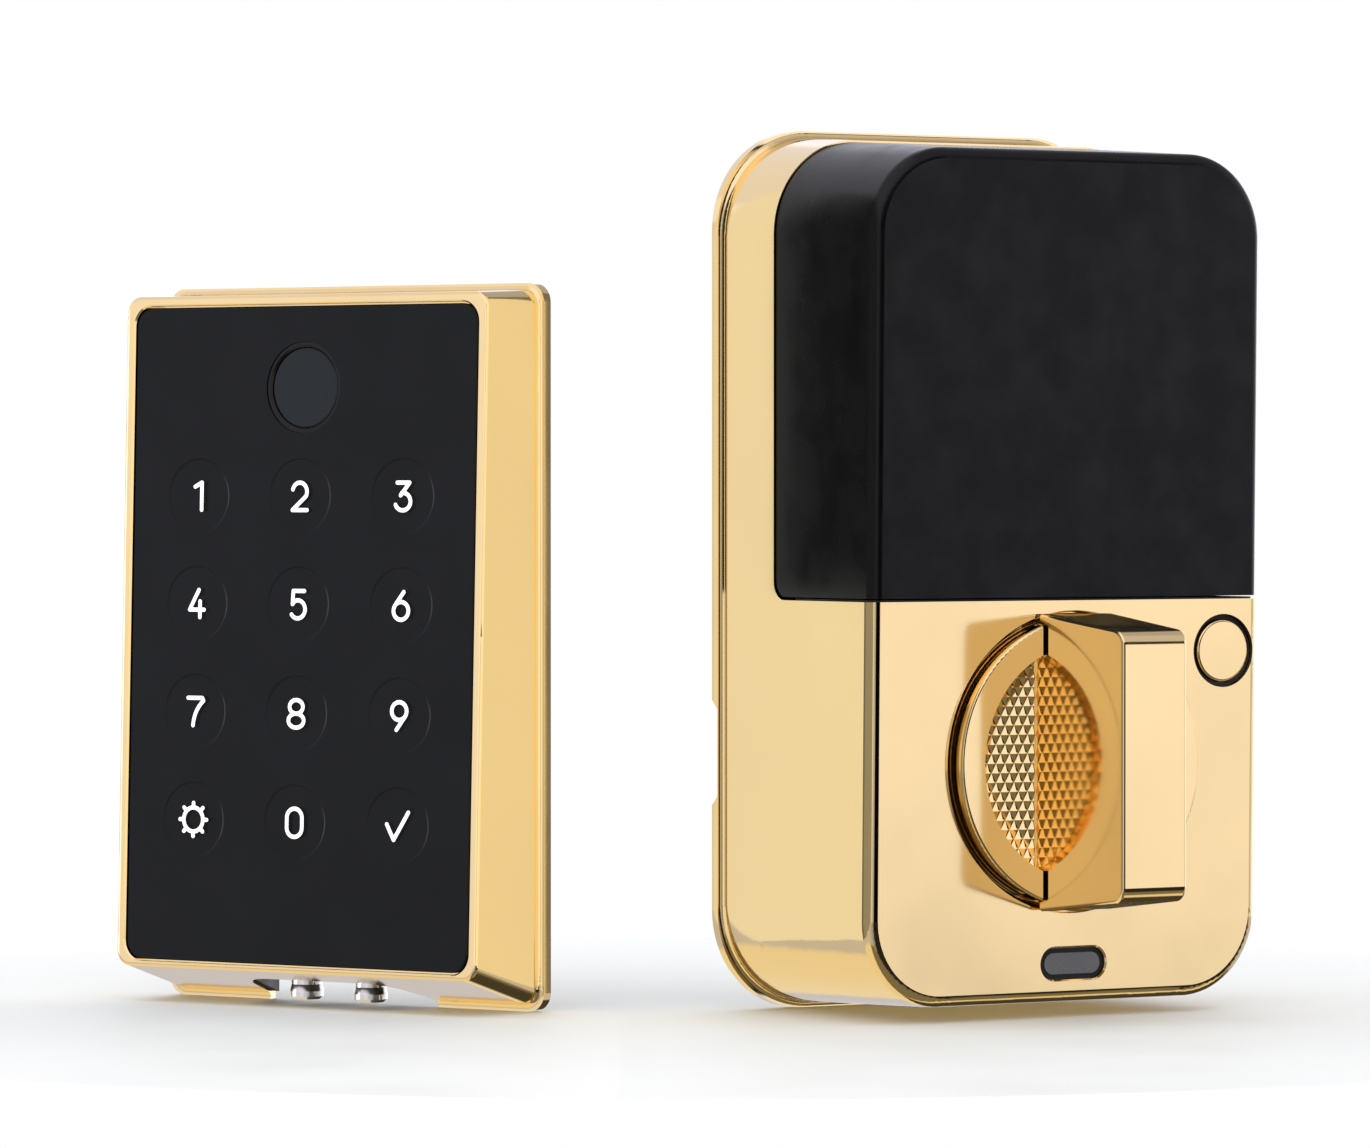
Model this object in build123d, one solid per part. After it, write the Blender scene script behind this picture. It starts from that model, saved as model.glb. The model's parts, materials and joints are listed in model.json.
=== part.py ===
from build123d import *
from math import acos, cos, pi, radians, sin, tan
import os

# Keypad smart lock in its two halves, standing side by side: the keypad unit that goes on the
# outside of a door, and the inside unit with its thumb turn, gear train, motor and batteries.
# Each unit is drawn in its own axes: +X right seen from its front, +Z up, the face that lies
# against the door at Y = 0 and the front towards -Y. "Depth" is the distance in front of Y = 0.
# The inside unit keeps these axes in the finished model. Sizes are in millimetres.

# ---- inside unit: driving dimensions
inside_width = 76.2
inside_height = 139.4
inside_depth_low = 42.9  # depth of the sloping front at Z = 0
inside_depth_high = 44.8  # and at the top
inside_corner = 16.0
inside_front_corner = 13.5
side_draft = 1.0  # how far each edge has come in at draft_depth
bottom_draft = 2.6
top_draft = 3.9
draft_depth = 44.0
back_rim_depth = 1.7  # the rim that stands out all round at the back
back_rim_step = 0.9
rim_fillet = 0.8  # the hollow round where a wall meets its rim, on both units
edge_break = 0.25  # the small bevel on openings in the polished fronts
shell = 2.3
front_wall = 3.0
plate_thickness = 2.0
notch_low = 32.5  # the lever slot in each side of the rim
notch_high = 49.2
notch_depth = 1.6
notch_slope = 1.5
seam_height = 65.2  # top of the metal lower half
seam_gap = 0.5
ledge_depth = 16.5  # front of the metal upper half
ledge_corner = 3.0
cover_wall = 1.8
cover_gap = 0.3
edge_round = 1.8

turn_x = 1.0
turn_z = 40.0
disc_radius = 22.6
disc_gap = 0.8
disc_proud = 2.5
disc_back = 1.6  # below the front face
recess_depth = 1.9
pocket_radius = 18.3
pocket_depth = 2.6
lever_width = 14.0  # at the floor of the finger pocket
lever_front_width = 12.1
lever_length = 46.2
lever_front_length = 41.5
lever_tip_round = 2.4
lever_edge_round = 0.5
lever_proud = 21.8
slot_gap = 0.4
lever_screw_pitch = 22.0

button_x = 29.9
button_z = 57.0
button_radius = 4.9
button_ring = 5.8
button_travel = 0.8
button_recess = 1.3
button_reach = 4.3  # from the front face to the back of the cap

window_x = 1.5
window_z = 8.5
window_width = 12.2
window_height = 5.0
window_sunk = 0.7
window_step = 0.25  # how far the middle of the lens stands out of its border
window_border = 0.75

# ---- plate, boards and screws of the inside unit
door_bolt_pitch = 38.1  # between the two bolts that run through the door
plate_bolt_radius = 2.7
plate_hole_radius = 11.0
plate_play = 0.4
board_thickness = 1.6
control_board_depth = 8.4
front_board_depth = 36.0
board_screw_places = [(-27, 78), (27, 78), (-27, 124), (27, 124)]
housing_screw_places = [(-18, 131.6), (18, 131.6)]

# ---- gear train
pressure_angle = 25.0
turn_module = 0.8
output_teeth = 40
idler_small_teeth = 16
drive_module = 0.6
idler_large_teeth = 36
pinion_teeth = 12
backlash = 0.16  # taken off each tooth at the pitch circle
idler_direction = 225.0
pinion_direction = 240.0
spindle_radius = 4.5
running_fit = 0.05
centre_play = 0.06
frame_depth = 14.0
frame_thickness = 2.5
top_plate_depth = 33.5
gearbox_x_range = (-33.0, 33.0)
gearbox_z_range = (6.6, 57.0)
gearbox_screw_places = [(-28, 49), (30, 38), (14, 11)]

# ---- batteries
battery_radius = 7.1
battery_length = 50.5
battery_pitch = 15.0
battery_depth = 31.5
battery_base = 73.2
battery_count = 4
tray_screw_z = 130.4
tray_half = 35.3
tray_low = seam_height + 3.2
tray_high = 127.2
tray_floor = 22.4

# ---- keypad unit: driving dimensions
keypad_width = 74.4
keypad_height = 115.0
keypad_depth_low = 18.4
keypad_depth_high = 15.0
keypad_corner = 3.0
rim_depth = 1.9
rim_step = 1.0
keypad_side_draft = 0.5
keypad_bottom_draft = 4.3
keypad_top_draft = 0.6
keypad_wall = 2.0
panel_width = 67.4
panel_height = 104.8
panel_low = 6.9
panel_corner = 3.0
panel_thickness = 1.8
panel_sunk = 0.15
key_columns = (-20.5, -0.3, 19.9)
key_rows = (29.6, 46.9, 64.2, 81.4)
key_radius = 6.1
key_depth = 0.08
key_wall = 0.3  # width of the slope around each key's shallow recess
sensor_z = 98.7
sensor_ring = 7.3
sensor_radius = 6.4
terminal_pitch = 12.7
terminal_radius = 2.7
terminal_depth = 6.0
terminal_low = 0.7
arch_half = 17.2
arch_taper = 0.25
arch_reach = 12.5
arch_corner = 6.0
arch_roof = 7.2
arch_wall = 1.4
holder_roof = 3.9
back_plate_depth = 2.6
back_screw_places = [(-32.2, 20), (32.2, 20), (-32.2, 104), (32.2, 104)]
post_z = 57.5
connector_z = 38.0
guide_front = 2.45
guide_thickness = 1.9

# ---- how the two units stand
keypad_turn = -66.0
keypad_place = (-76.4, 44.9)

os.makedirs("parts", exist_ok=True)


def at_depth(depth):
    """A vertical plane facing the front, at this depth."""
    return Plane.XZ.offset(depth)


def sloped(depth_low, depth_high, height, back=0.0):
    """The sloping front plane of a unit, moved back along its own normal."""
    slope = (depth_high - depth_low) / height
    plane = Plane(origin=(0, -depth_low, 0), x_dir=(1, 0, 0), z_dir=(0, -1, -slope))
    return plane.offset(-back)


def block(x_range, depth_range, z_range):
    """A box between two x values, two depths and two heights."""
    (x0, x1), (d0, d1), (z0, z1) = x_range, depth_range, z_range
    centre = Pos((x0 + x1) / 2, -(d0 + d1) / 2, (z0 + z1) / 2)
    return centre * Box(x1 - x0, d1 - d0, z1 - z0)


def rod(x, z, radius, d0, d1):
    """A round bar along the depth, from d0 to d1."""
    return extrude(at_depth(d0) * Pos(x, z) * Circle(radius), d1 - d0)


def ring(x, z, radius, hole, d0, d1):
    return extrude(at_depth(d0) * Pos(x, z) * (Circle(radius) - Circle(hole)), d1 - d0)


def slab(x_range, z_range, corner, d0, d1):
    """A plate with rounded corners, square to the depth."""
    (x0, x1), (z0, z1) = x_range, z_range
    face = Pos((x0 + x1) / 2, (z0 + z1) / 2) * RectangleRounded(x1 - x0, z1 - z0, corner)
    return extrude(at_depth(d0) * face, d1 - d0)


def cone(x, z, radius_0, radius_1, d0, d1):
    return loft([at_depth(d0) * Pos(x, z) * Circle(radius_0), at_depth(d1) * Pos(x, z) * Circle(radius_1)])


def keep_behind(shape, plane):
    return split(shape, bisect_by=plane, keep=Keep.BOTTOM)


def screw(x, z, d0, d1, shank, head, head_height, faces_front=True):
    """A pan head screw along the depth, its head beyond d1, or beyond d0 if it faces the back."""
    body = rod(x, z, shank, d0, d1)
    head_from = d1 if faces_front else d0 - head_height
    top = rod(x, z, head, head_from, head_from + head_height)
    outer = head_from + head_height if faces_front else head_from
    socket = slab((x - head * 0.7, x + head * 0.7), (z - head * 0.13, z + head * 0.13), head * 0.12,
                  outer - head_height * 0.45, outer + head_height * 0.45)
    turned = slab((x - head * 0.13, x + head * 0.13), (z - head * 0.7, z + head * 0.7), head * 0.12,
                  outer - head_height * 0.45, outer + head_height * 0.45)
    return body + top - socket - turned


def group(*shapes):
    """Separate solids kept side by side in one node."""
    return Compound(children=[solid for shape in shapes for solid in shape.solids()])


# ------------------------------------------------------------------ inside unit: shells


def inside_outline(depth, inset, start=0.0):
    """The inside unit's outline at a depth: it narrows towards the front, from a step of start."""
    share = depth / draft_depth
    half = inside_width / 2 - start - (side_draft - start) * share - inset
    low = start + (bottom_draft - start) * share + inset
    high = inside_height - start - (top_draft - start) * share - inset
    corner = inside_corner + (inside_front_corner - inside_corner) * share - inset
    return at_depth(depth) * Pos(0, (low + high) / 2) * RectangleRounded(2 * half, high - low, corner)


def inside_block(d0, inset, front_back=0.0, start=0.0):
    """The full tapered block from depth d0 to the sloping front, with its walls moved in."""
    ends = [inside_outline(depth, inset, start) for depth in (d0, draft_depth + 4)]
    return keep_behind(loft(ends, ruled=True), inside_front(front_back))


def inside_front(back=0.0):
    return sloped(inside_depth_low, inside_depth_high, inside_height, back)


def front_depth(z):
    return inside_depth_low + (inside_depth_high - inside_depth_low) * z / inside_height


def cover_zone(gap):
    """The space in front of the metal upper half, with the rounded inner corner of the seam."""
    zone = block((-60, 60), (ledge_depth + gap, 70), (seam_height + gap, 160))
    corner = zone.edges().filter_by(Axis.X).sort_by_distance(Vector(0, -ledge_depth, seam_height))[0]
    return fillet(corner, ledge_corner)


def round_front(shape, radius):
    """Rounds the outer edges of the sloping front, all but the one along the seam."""
    face = shape.faces().sort_by(Axis.Y)[0]
    outer = face.outer_wire().edges()
    seam = outer.filter_by(Axis.X).sort_by_distance(Vector(0, -43.8, seam_height))[0]
    return fillet([edge for edge in outer if edge != seam], radius)


def fillet_rim(shape, depth):
    """Rounds the hollow corner between a unit's wall and the rim at its back."""
    rim = shape.faces().filter_by(Plane.XZ).sort_by_distance(Vector(0, -depth, 0))
    ledge = [face for face in rim if abs(face.center().Y + depth) < 0.01 and face.inner_wires()][0]
    return fillet(ledge.inner_wires()[0].edges(), rim_fillet)


def break_openings(shape):
    """Puts a small bevel around each opening in the front face."""
    face = [face for face in shape.faces().sort_by(Axis.Y) if face.inner_wires()][0]
    return chamfer([edge for wire in face.inner_wires() for edge in wire.edges()], edge_break)


def make_interior_housing():
    body = inside_block(back_rim_depth - 0.2, 0, start=back_rim_step)
    body += extrude(inside_outline(0, 0), back_rim_depth)
    body = fillet_rim(body, back_rim_depth)
    body -= cover_zone(0)
    body = round_front(body, edge_round)
    inner = inside_block(-1, shell, front_wall)
    inner -= block((-60, 60), (ledge_depth - shell, 70), (seam_height - shell, 160))
    body -= inner
    # bosses behind the ledge for the control board and behind the front for the gearbox
    for x, z in board_screw_places:
        body += rod(x, z, 3.0, control_board_depth + board_thickness, ledge_depth - shell + 0.2)
        body -= rod(x, z, 1.0, control_board_depth, ledge_depth - shell)
    for x, z in gearbox_screw_places:
        body += rod(x, z, 3.4, front_board_depth + board_thickness, front_depth(z) - front_wall + 0.3)
        body -= rod(x, z, 1.5 + running_fit, front_board_depth, front_depth(z) - front_wall)
    # seat of the thumb turn: a shallow recess, a bearing boss and its bore
    face = front_depth(turn_z)
    body += rod(turn_x, turn_z, 9.0, 38.2, face - front_wall + 0.3)
    body -= rod(turn_x, turn_z, disc_radius + disc_gap, face - recess_depth, face + 5)
    body -= rod(turn_x, turn_z, 6.0, 30, face)
    # lock button: a stepped hole
    button_face = front_depth(button_z)
    body -= rod(button_x, button_z, button_ring, button_face - button_recess, button_face + 2)
    body -= rod(button_x, button_z, button_radius + 0.2, button_face - 6, button_face)
    body -= rod(button_x, button_z, 6.0, front_board_depth, button_face - front_wall)
    window_face = front_depth(window_z)
    body -= window_slab(0, window_face - 6, window_face + 2)
    # screw holes through the ledge
    for x, z in housing_screw_places:
        body -= rod(x, z, 2.2, ledge_depth - shell - 1, ledge_depth + 1)
    body -= rod(0, tray_screw_z, 1.2, ledge_depth - shell - 1, ledge_depth + 1)
    # slots through the ledge for the battery leads
    for side in (-1, 1):
        slot = (side * 30 - 2, side * 30 + 2)
        body -= block(slot, (ledge_depth - shell - 1, ledge_depth + 1), (109, 121))
    # a notch through the rim on each side, to lever the housing off its plate
    notch = Polyline((-1, notch_low - 1), (notch_depth, notch_low + notch_slope),
                     (notch_depth, notch_high - notch_slope), (-1, notch_high + 1), close=True)
    across = Plane(origin=(-60, 0, 0), x_dir=(0, -1, 0), z_dir=(-1, 0, 0))
    body -= extrude(across * make_face(notch), -120)
    return break_openings(body)


def make_battery_cover():
    gap_zone = cover_zone(cover_gap)
    bottom = seam_height + seam_gap
    whole = inside_block(2, cover_gap, start=back_rim_step) & gap_zone
    whole -= block((-60, 60), (0, 70), (0, bottom))
    whole = round_front(whole, edge_round)
    hollow = inside_block(2, cover_gap + cover_wall, cover_wall)
    whole -= hollow
    # lips that run in the grooves of the battery tray
    half = inside_width / 2 - side_draft * 0.45 - cover_gap - cover_wall
    for side in (-1, 1):
        inner = side * (half - 1.5)
        outer = side * (half + 0.4)
        whole += block((min(inner, outer), max(inner, outer)), (18.2, 19.8), (71, 117))
    return whole


# ------------------------------------------------------------------ inside unit: battery tray

def battery_x(index):
    return (index - (battery_count - 1) / 2) * battery_pitch


def make_battery_tray():
    floor = slab((-tray_half, tray_half), (tray_low, tray_high), 4.5, ledge_depth, tray_floor)
    for side in (-1, 1):
        edge = side * tray_half
        groove = (min(edge - side * 2.3, edge + side), max(edge - side * 2.3, edge + side))
        floor -= block(groove, (17.9, 20.1), (tray_low + 2.5, 160))
    body = floor + block((-31.6, 31.6), (tray_floor - 1, 30), (tray_low, tray_high))
    for index in range(battery_count):
        x = battery_x(index)
        middle = (tray_low + tray_high) / 2
        body -= Pos(x, -battery_depth, middle) * Cylinder(7.45, tray_high - tray_low - 4.4)
        body -= block((x - 7.4, x + 7.4), (battery_depth - 1.5, 60), (tray_low + 2.2, tray_high - 2.2))
    for z0, z1 in ((tray_low, tray_low + 2.2), (tray_high - 2.2, tray_high)):
        body += block((-31.6, 31.6), (tray_floor, 39.0), (z0, z1))
    # tab for the fixing screw, and openings over the two housing screws
    body += slab((-7, 7), (tray_high - 2, 133.4), 2.0, ledge_depth, ledge_depth + 2.4)
    body -= rod(0, tray_screw_z, 1.3, ledge_depth - 1, ledge_depth + 4)
    return body


def make_battery(index):
    """A round cell: can, shoulder and the small cap of its positive end."""
    r = battery_radius
    can = Pos(0, 0, 24.4) * Cylinder(r, 48.8)
    can = fillet(can.edges().filter_by(GeomType.CIRCLE), 0.6)
    cap = Pos(0, 0, 49.6) * Cylinder(2.7, 1.8)
    cell = can + cap
    if index % 2:
        cell = Pos(0, 0, battery_length) * Rot(180, 0, 0) * cell
    return Pos(battery_x(index), -battery_depth, battery_base) * cell


def make_battery_springs():
    """Folded leaf springs on the negative end of each cell."""
    leaves = []
    for index in range(battery_count):
        up = index % 2 == 0
        wall = tray_low + 2.2 if up else tray_high - 2.2
        sense = 1 if up else -1
        gap = battery_base - wall if up else wall - (battery_base + battery_length)
        foot = Line((27.0, wall + sense * 0.15), (35.5, wall + sense * 0.15))
        rise = Line((35.5, wall + sense * 0.15), (29.0, wall + sense * (gap - 0.25)))
        leaf = trace([foot, rise], 0.3)
        across = Plane(origin=(battery_x(index) - 2.5, 0, 0), x_dir=(0, -1, 0), z_dir=(-1, 0, 0))
        leaves.append(extrude(across * leaf, -5.0))
    return group(*leaves)


def make_battery_contacts():
    """Plates with a raised button on the positive end of each cell."""
    plates = []
    for index in range(battery_count):
        up = index % 2 == 0
        wall = tray_high - 2.2 if up else tray_low + 2.2
        sense = -1 if up else 1
        tip = battery_base + battery_length if up else battery_base
        x = battery_x(index)
        z0, z1 = sorted((wall, wall + sense * 0.4))
        plate = block((x - 4.5, x + 4.5), (battery_depth - 5, battery_depth + 5), (z0, z1))
        b0, b1 = sorted((wall, tip))
        plates.append(plate + Pos(x, -battery_depth, (b0 + b1) / 2) * Cylinder(1.8, b1 - b0))
    return group(*plates)


# ------------------------------------------------------------------ inside unit: boards

def make_control_board():
    board = slab((-31.5, 31.5), (70, 127.2), 6, control_board_depth, control_board_depth + board_thickness)
    for x, z in board_screw_places:
        board -= rod(x, z, 1.3, 0, 20)
    return board


def make_control_chips():
    front = control_board_depth + board_thickness
    sizes = [(-12, 106, 14, 14, 1.4), (10, 112, 8, 10, 1.2), (-8, 86, 10, 6, 1.2), (16, 92, 6, 6, 2.6),
             (20, 114, 4, 4, 1.6)]
    return group(*[block((x - w / 2, x + w / 2), (front, front + h), (z - d / 2, z + d / 2))
                   for x, z, w, d, h in sizes])


def make_cable_socket():
    """The header that the cable of the keypad unit plugs into, open towards the door."""
    body = slab((-8, 8), (86, 94), 0.8, 3.2, control_board_depth)
    body -= block((-6.8, 6.8), (3.0, 7.4), (87.2, 92.8))
    for index in range(5):
        body += block((index * 2.4 - 5.1, index * 2.4 - 4.5), (4.4, 7.6), (89.7, 90.3))
    return body


def make_board_screws():
    return group(*[screw(x, z, control_board_depth, 13.6, 0.95, 2.1, 1.5, faces_front=False)
                   for x, z in board_screw_places])


def make_front_board():
    """The board behind the front wall that carries the button switch and the status light."""
    board = slab((-33, 34.3), (7.5, 61.5), 10, front_board_depth, front_board_depth + board_thickness)
    board -= rod(turn_x, turn_z, 10.5, 30, 40)
    for x, z in gearbox_screw_places:
        board -= rod(x, z, 1.7, 30, 40)
    return board


def make_status_light():
    """A small light behind the status window, on the front board."""
    top = front_board_depth + board_thickness
    return slab((window_x - 1.6, window_x + 1.6), (window_z - 1.4, window_z + 1.4), 0.3, top, top + 0.9)


def make_button_switch():
    top = front_board_depth + board_thickness
    body = slab((button_x - 2.4, button_x + 2.4), (button_z - 2.4, button_z + 2.4), 0.4, top, top + 0.6)
    plunger_end = front_depth(button_z) - button_reach - button_travel - running_fit
    return body + rod(button_x, button_z, 1.0, top + 0.5, plunger_end)


def make_button_spring():
    """A thin rubber dome that lifts the button off its switch."""
    top = front_board_depth + board_thickness
    end = front_depth(button_z) - button_reach - running_fit
    outer = cone(button_x, button_z, 5.1, 3.4, top, end)
    return outer - cone(button_x, button_z, 4.6, 2.9, top - 0.001, end + 0.001)


def make_lock_button():
    face = front_depth(button_z)
    back = face - button_reach
    cap = keep_behind(rod(button_x, button_z, button_radius, back, face + 2), inside_front(0.1))
    cap = fillet(cap.faces().sort_by(Axis.Y)[0].edges(), 0.35)
    return cap + rod(button_x, button_z, 5.6, back, face - 3.15)


def window_slab(inset, d0, d1):
    """A plate with round ends, in the outline of the status window moved in by inset."""
    half_w, half_h = window_width / 2 - inset, window_height / 2 - inset
    x_range = (window_x - half_w, window_x + half_w)
    return slab(x_range, (window_z - half_h, window_z + half_h), half_h - 0.01, d0, d1)


def make_status_window():
    """A smoked lens that fills the slot, with a raised middle and a flange behind the wall."""
    play = 0.1
    back = front_depth(window_z) - front_wall - play
    lens = keep_behind(window_slab(play, back - 1.2, back + 6), inside_front(window_sunk))
    middle = window_slab(play + window_border, back - 1.2, back + 6)
    lens += keep_behind(middle, inside_front(window_sunk - window_step))
    return lens + window_slab(-0.8, back - 1.2, back)


# ------------------------------------------------------------------ inside unit: gear train


def involute_gear(teeth, module, width, phase):
    """A spur gear with flat-sided involute teeth, centred on the axis, one tooth at the phase angle."""
    angle = radians(pressure_angle)
    pitch = teeth * module / 2
    base = pitch * cos(angle)
    tip = pitch + module
    root = pitch - 1.2 * module
    half = (pi * module / 2 - backlash) / 2 / pitch  # half a tooth at the pitch circle, in radians

    def roll(radius):
        turn = acos(min(1, base / radius))
        return tan(turn) - turn

    start = max(base, root)
    flank = [start + (tip - start) * step / 4 for step in range(5)]
    side = [(radius, half + roll(pitch) - roll(radius)) for radius in flank]
    if root < start:
        side.insert(0, (root, side[0][1]))
    points = []
    for tooth in range(teeth):
        middle = radians(phase) + 2 * pi * tooth / teeth
        for radius, spread in side:
            points.append((radius * cos(middle - spread), radius * sin(middle - spread)))
        for radius, spread in reversed(side):
            points.append((radius * cos(middle + spread), radius * sin(middle + spread)))
    return extrude(make_face(Polyline(*points, close=True)), width)


def placed_gear(teeth, module, d0, d1, x, z, phase):
    gear = involute_gear(teeth, module, d1 - d0, phase)
    return at_depth(d0) * Pos(x, z) * gear


def away(x, z, distance, direction):
    return x + distance * cos(radians(direction)), z + distance * sin(radians(direction))


idler_distance = turn_module * (output_teeth + idler_small_teeth) / 2 + centre_play
pinion_distance = drive_module * (idler_large_teeth + pinion_teeth) / 2 + centre_play
idler_x, idler_z = away(turn_x, turn_z, idler_distance, idler_direction)
pinion_x, pinion_z = away(idler_x, idler_z, pinion_distance, pinion_direction)


def make_output_gear():
    gear = placed_gear(output_teeth, turn_module, 25.5, 30.5, turn_x, turn_z, idler_direction)
    gear += rod(turn_x, turn_z, 7.5, 17.0, 33.2)
    for index in range(6):
        x, z = away(turn_x, turn_z, 11.0, 60 * index + 30)
        gear -= rod(x, z, 2.4, 25, 31)
    return gear - rod(turn_x, turn_z, spindle_radius, 10, 40)


def make_idler_gear():
    """Two gears in one: the small one drives the output gear, the large one meets the pinion."""
    small_phase = idler_direction + 180 + 180 / idler_small_teeth
    small = placed_gear(idler_small_teeth, turn_module, 24.0, 31.0, idler_x, idler_z, small_phase)
    large = placed_gear(idler_large_teeth, drive_module, 20.6, 24.2, idler_x, idler_z, pinion_direction)
    hub = rod(idler_x, idler_z, 3.2, frame_depth + frame_thickness + 0.2, top_plate_depth - 0.2)
    return small + large + hub - rod(idler_x, idler_z, 1.5 + running_fit, 10, 40)


def make_motor_pinion():
    phase = pinion_direction + 180 + 180 / pinion_teeth
    gear = placed_gear(pinion_teeth, drive_module, 20.2, 25.0, pinion_x, pinion_z, phase)
    return gear - rod(pinion_x, pinion_z, 1.0 + running_fit, 10, 40)


def make_idler_pin():
    return rod(idler_x, idler_z, 1.5, frame_depth, top_plate_depth + 2.3)


def make_drive_motor():
    """A small gear motor: can, end cap, boss, shaft and two solder tabs."""
    can = fillet(rod(pinion_x, pinion_z, 6.0, 4.2, 19.0).edges().filter_by(GeomType.CIRCLE), 0.5)
    boss = rod(pinion_x, pinion_z, 2.5, 18.9, 19.8)
    shaft = rod(pinion_x, pinion_z, 1.0, 18.9, 25.4)
    motor = can + boss + shaft
    for x in (pinion_x - 3, pinion_x + 3):
        motor += block((x - 0.8, x + 0.8), (2.6, 4.4), (pinion_z - 0.2, pinion_z + 0.2))
    return motor


def make_gearbox_frame():
    """The plate nearest the door, with pillars up to the top plate."""
    plate = slab(gearbox_x_range, gearbox_z_range, 11, frame_depth, frame_depth + frame_thickness)
    for x, z in gearbox_screw_places:
        plate += rod(x, z, 3.4, frame_depth + frame_thickness - 0.5, top_plate_depth)
        plate -= rod(x, z, 1.5 + running_fit, 10, 40)
    plate -= rod(turn_x, turn_z, spindle_radius + running_fit, 10, 20)
    plate -= rod(idler_x, idler_z, 1.5, 10, 20)
    motor_hole = 6.0 + running_fit
    collar = ring(pinion_x, pinion_z, 7.6, motor_hole, frame_depth - 3, frame_depth + frame_thickness)
    return plate + collar - rod(pinion_x, pinion_z, motor_hole, 10, 20)


def make_gearbox_cover():
    plate = slab(gearbox_x_range, gearbox_z_range, 11, top_plate_depth, front_board_depth)
    for x, z in gearbox_screw_places:
        plate -= rod(x, z, 1.5 + running_fit, 30, 40)
    plate -= rod(turn_x, turn_z, 6.5, 30, 40)
    return plate - rod(idler_x, idler_z, 1.5, 30, top_plate_depth + 2.3)


def make_gearbox_screws():
    screws = []
    for x, z in gearbox_screw_places:
        tip = front_depth(z) - front_wall - 0.2
        screws.append(screw(x, z, frame_depth, tip, 1.5, 2.8, 2.0, faces_front=False))
    return group(*screws)


# ------------------------------------------------------------------ inside unit: thumb turn

turn_face = front_depth(turn_z)
disc_front = turn_face + disc_proud
pocket_floor = disc_front - pocket_depth
lever_front = turn_face + lever_proud


def make_turn_spindle():
    """The shaft of the thumb turn, with a cross-shaped socket for the tailpiece at the door end."""
    shaft = rod(turn_x, turn_z, 6.4, 2.6, frame_depth - 0.3)
    shaft += rod(turn_x, turn_z, spindle_radius, 10, turn_face - disc_back)
    shaft += rod(turn_x, turn_z, 3.5, turn_face - disc_back - 1, pocket_floor)
    shaft -= ring(turn_x, turn_z, spindle_radius + 1, 3.9, 36.3, 36.9)
    for half_w, half_h in ((3.5, 1.35), (1.35, 3.5)):
        shaft -= block((turn_x - half_w, turn_x + half_w), (0, 12.6), (turn_z - half_h, turn_z + half_h))
    return shaft


def make_spindle_bushing():
    body = rod(turn_x, turn_z, 6.0, 38.2, turn_face - recess_depth)
    body += rod(turn_x, turn_z, 8.4, 37.5, 38.2)
    return body - rod(turn_x, turn_z, spindle_radius + running_fit, 30, 45)


def make_spindle_clip():
    """A snap ring in the groove of the spindle."""
    clip = ring(turn_x, turn_z, 6.2, 3.9, 36.35, 36.85)
    return clip - block((turn_x - 2.6, turn_x + 2.6), (36, 37), (turn_z - 8, turn_z))


def make_thrust_washer():
    return ring(turn_x, turn_z, 7.8, spindle_radius + 0.2, 36.95, 37.45)


def make_turn_disc():
    disc = rod(turn_x, turn_z, disc_radius, turn_face - disc_back, disc_front)
    rim = disc.faces().sort_by(Axis.Y)[0].edges()
    disc = fillet(rim, 0.4)
    disc -= rod(turn_x, turn_z, pocket_radius, pocket_floor, disc_front + 1)
    half_slot = lever_width / 2 + slot_gap
    disc -= block((turn_x - half_slot, turn_x + half_slot), (pocket_floor, disc_front + 1),
                  (turn_z - disc_radius - 1, turn_z + disc_radius + 1))
    disc -= rod(turn_x, turn_z, 3.5, 30, 60)
    for side in (-1, 1):
        z = turn_z + side * lever_screw_pitch / 2
        disc -= rod(turn_x, z, 1.6, 30, 60)
        disc -= cone(turn_x, z, 3.0, 1.6, turn_face - disc_back, turn_face - disc_back + 1.2)
    return disc


def make_turn_lever():
    """The grip: a tall block that tapers towards its front and drops into the slot of the disc."""
    underside = disc_front - 1.5
    foot, base, front = disc_radius - 1, lever_length / 2, lever_front_length / 2
    from_side = [(pocket_floor, foot), (underside, foot), (underside, base), (lever_front, front)]
    points = [(d, turn_z + z) for d, z in from_side] + [(d, turn_z - z) for d, z in reversed(from_side)]
    profile = make_face(Polyline(*points, close=True))
    profile = fillet(profile.vertices().group_by(Axis.X)[-1], lever_tip_round)
    left = Plane(origin=(turn_x - lever_width / 2 - 1, 0, 0), x_dir=(0, -1, 0), z_dir=(-1, 0, 0))
    half, half_front = lever_width / 2, lever_front_width / 2
    section = Polyline((turn_x - half, -pocket_floor), (turn_x + half, -pocket_floor),
                       (turn_x + half_front, -lever_front), (turn_x - half_front, -lever_front), close=True)
    grip = extrude(left * profile, -lever_width - 2) & extrude(make_face(section), inside_height)
    sides = grip.faces().sort_by(Axis.X)
    outline = sides[0].edges() + sides[-1].edges()
    grip = fillet([edge for edge in outline if edge.center().Y < -disc_front - 0.5], lever_edge_round)
    for side in (-1, 1):
        grip -= rod(turn_x, turn_z + side * lever_screw_pitch / 2, 1.25, pocket_floor - 1, pocket_floor + 9)
    return grip


def make_lever_screws():
    screws = []
    back = turn_face - disc_back
    for side in (-1, 1):
        z = turn_z + side * lever_screw_pitch / 2
        body = rod(turn_x, z, 1.25, back + 0.5, pocket_floor + 8.5)
        body += cone(turn_x, z, 2.9, 1.4, back, back + 1.15)
        body -= slab((turn_x - 1.6, turn_x + 1.6), (z - 0.35, z + 0.35), 0.3, back - 0.1, back + 0.5)
        screws.append(body)
    return group(*screws)


# ------------------------------------------------------------------ inside unit: mounting plate

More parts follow.
